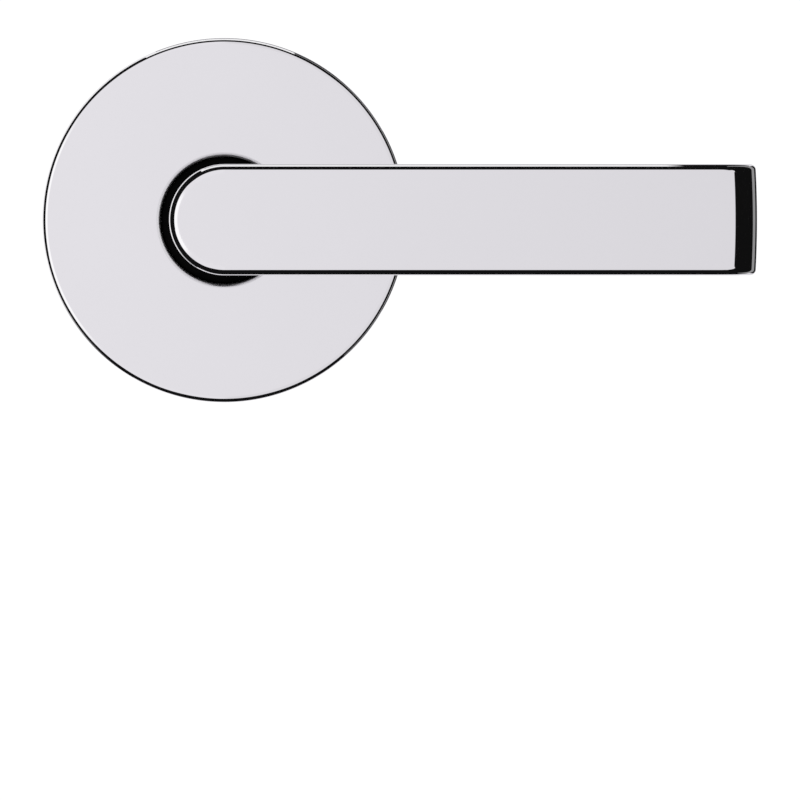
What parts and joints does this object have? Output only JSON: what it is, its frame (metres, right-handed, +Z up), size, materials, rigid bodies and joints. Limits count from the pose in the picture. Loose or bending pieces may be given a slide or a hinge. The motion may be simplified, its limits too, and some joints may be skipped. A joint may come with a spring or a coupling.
{
  "type": "door lever handle set",
  "caption": "Polished chrome door lever handles on round roses, one for each face of a door, joined by a square spindle, with sprung levers and bolt-through fixing.",
  "frame": {"origin": "on the spindle's axis, halfway through the door", "axes": "+X along both levers from the spindle towards their tips; +Y along the spindle from the outside handle to the inside one; +Z up"},
  "size_m": [0.1302, 0.1556, 0.0666],
  "materials": {
    "polished_chrome": "mirror polished chrome plate on a zinc casting or a brass pressing",
    "black_acetal": "moulded, dull",
    "die_cast_zinc": "bare zinc die casting, fine grained",
    "zinc_plated_steel": "bright zinc plate",
    "spring_steel": "oiled spring wire and strip",
    "black_oxide_steel": "black oxide",
    "stamped_steel": "rolled and stamped, zinc plated"
  },
  "bodies": {
    "door_trim": {"outside_rose_cover": "polished_chrome", "outside_rose_clips": "spring_steel", "outside_neck_bush": "black_acetal", "outside_mounting_plate": "die_cast_zinc", "outside_return_spring": "spring_steel", "inside_rose_cover": "polished_chrome", "inside_rose_clips": "spring_steel", "inside_neck_bush": "black_acetal", "inside_mounting_plate": "die_cast_zinc", "inside_return_spring": "spring_steel", "mounting_posts": "zinc_plated_steel", "mounting_screws": "zinc_plated_steel"},
    "outside_handle": {"outside_lever": "polished_chrome", "outside_set_screw": "black_oxide_steel", "outside_driver_plate": "stamped_steel", "outside_wave_washer": "spring_steel", "outside_retaining_ring": "black_oxide_steel", "spindle": "zinc_plated_steel"},
    "inside_handle": {"inside_lever": "polished_chrome", "inside_set_screw": "black_oxide_steel", "inside_driver_plate": "stamped_steel", "inside_wave_washer": "spring_steel", "inside_retaining_ring": "black_oxide_steel"}
  },
  "joints": [
    {"name": "outside_lever_turn", "type": "hinge", "parent": "door_trim", "child": "outside_handle", "pos_m": [0, 0, 0], "axis": [0, 1, 0], "range_deg": [-50, 50], "stiffness_Nm_per_rad": 1.2, "deforming": ["outside_return_spring"]},
    {"name": "inside_lever_turn", "type": "hinge", "parent": "door_trim", "child": "inside_handle", "pos_m": [0, 0, 0], "axis": [0, 1, 0], "range_deg": [-50, 50], "stiffness_Nm_per_rad": 1.2, "deforming": ["inside_return_spring"]}
  ],
  "couplings": [
    {"joint": "inside_lever_turn", "follows": "outside_lever_turn", "ratio": 1}
  ]
}
